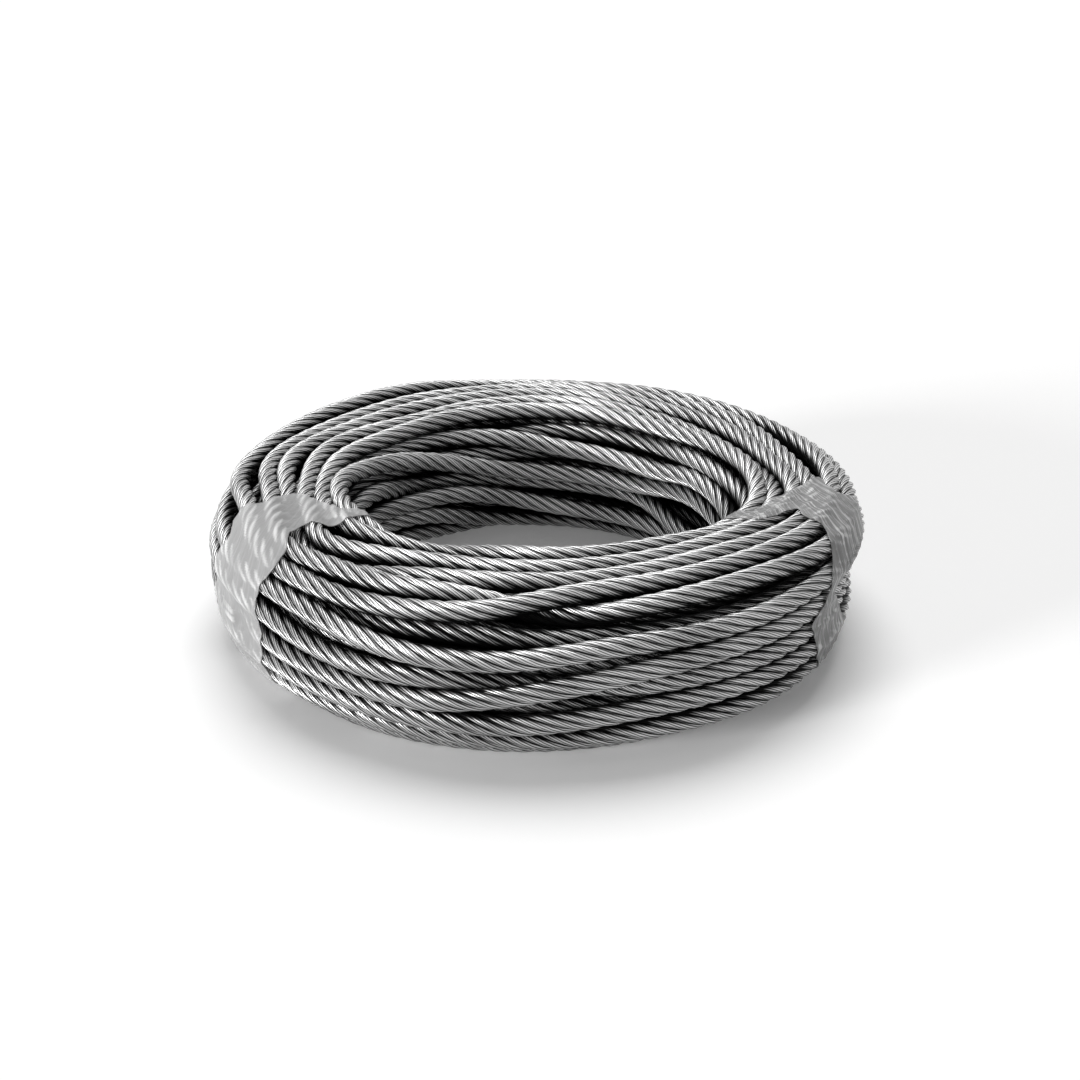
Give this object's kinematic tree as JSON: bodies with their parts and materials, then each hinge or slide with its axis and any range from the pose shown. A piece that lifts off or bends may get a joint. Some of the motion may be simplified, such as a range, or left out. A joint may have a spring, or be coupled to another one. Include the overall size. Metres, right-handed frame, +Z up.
{
  "type": "coil of wire rope",
  "caption": "Hand-wound coil of laid steel wire rope with an open eye, lying flat and tied with bands of clear film tape.",
  "frame": {"origin": "on the floor, at the middle of the coil's eye", "axes": "+Z up along the axis of the eye; -Y towards the side that is seen first; +X to the right of it"},
  "size_m": [0.266, 0.266, 0.062],
  "materials": {
    "wire_rope": "drawn bright steel wire, dulled by a thin film of grease",
    "tape_film": "clear polypropylene packing film in several wraps, finely crinkled"
  },
  "bodies": {
    "root": {"rope_coil": "wire_rope", "tape_band_left": "tape_film", "tape_band_right": "tape_film"}
  },
  "joints": []
}
